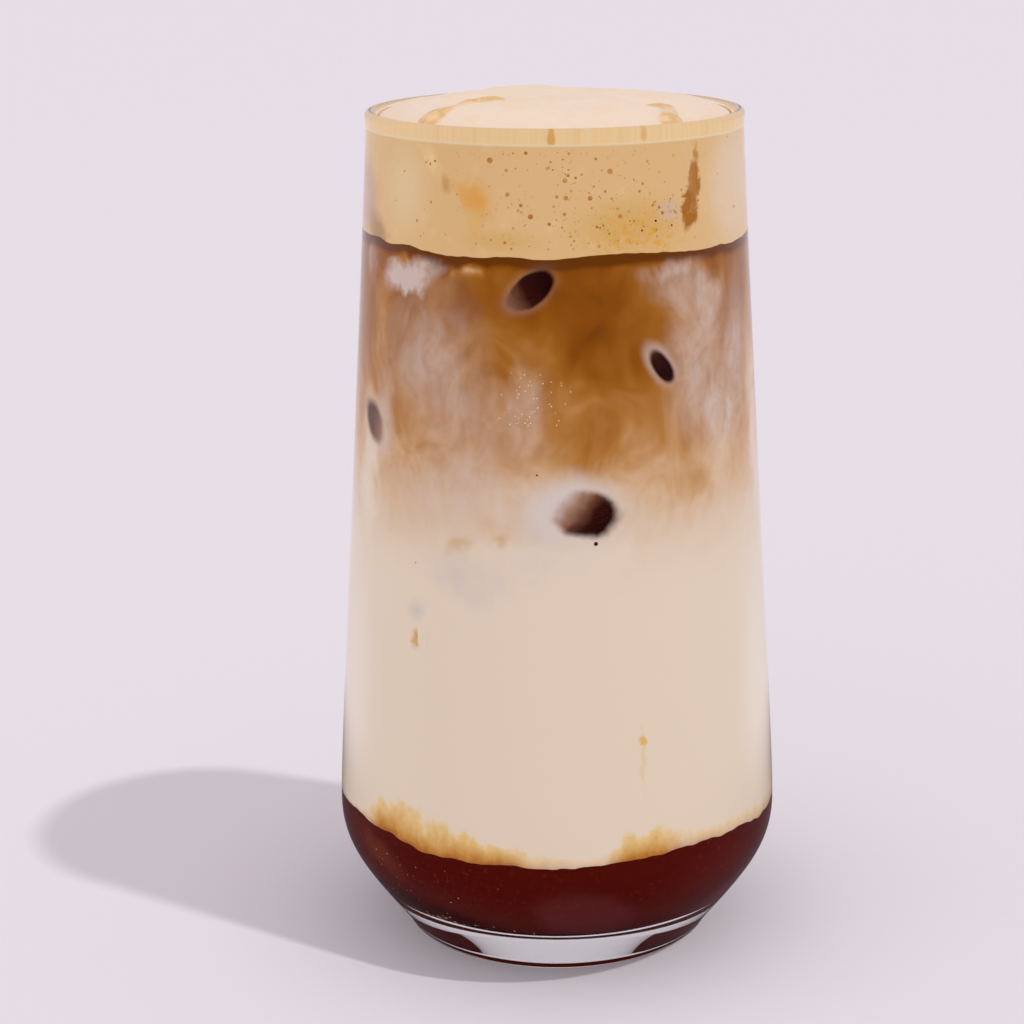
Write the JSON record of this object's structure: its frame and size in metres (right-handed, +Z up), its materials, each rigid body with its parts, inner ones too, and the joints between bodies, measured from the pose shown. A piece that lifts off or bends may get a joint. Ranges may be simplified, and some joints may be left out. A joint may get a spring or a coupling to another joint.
{
  "type": "iced latte in a tumbler",
  "caption": "Iced latte in a tall heavy-based tumbler: dark coffee, milk, clouded coffee and domed foam in layers, with ice showing at the glass and through the foam.",
  "frame": {"origin": "middle of the foot, on the surface that the glass stands on", "axes": "+Z up along the glass's axis, -Y towards the side that the picture shows"},
  "size_m": [0.0806, 0.0806, 0.1532],
  "materials": {
    "clear_glass": "polished clear glass with a fire-polished rim",
    "dark_coffee": "dark red-brown coffee seen through glass",
    "milk": "smooth milk, tinted cream by the coffee",
    "coffee_cloud": "coffee clouded with milk, brown to lilac-grey, in falling streaks",
    "foam": "fine pale foam with small bubbles",
    "ice": "wet melting ice, clear, with the drink's colour behind it"
  },
  "bodies": {
    "root": {"glass": "clear_glass", "dark_coffee": "dark_coffee", "milk": "milk", "coffee_cloud": "coffee_cloud", "foam": "foam", "ice_top_left": "ice", "ice_top_right": "ice", "ice_front_high": "ice", "ice_front_right": "ice", "ice_left": "ice", "ice_front_middle": "ice", "ice_front_low": "ice"}
  },
  "joints": []
}
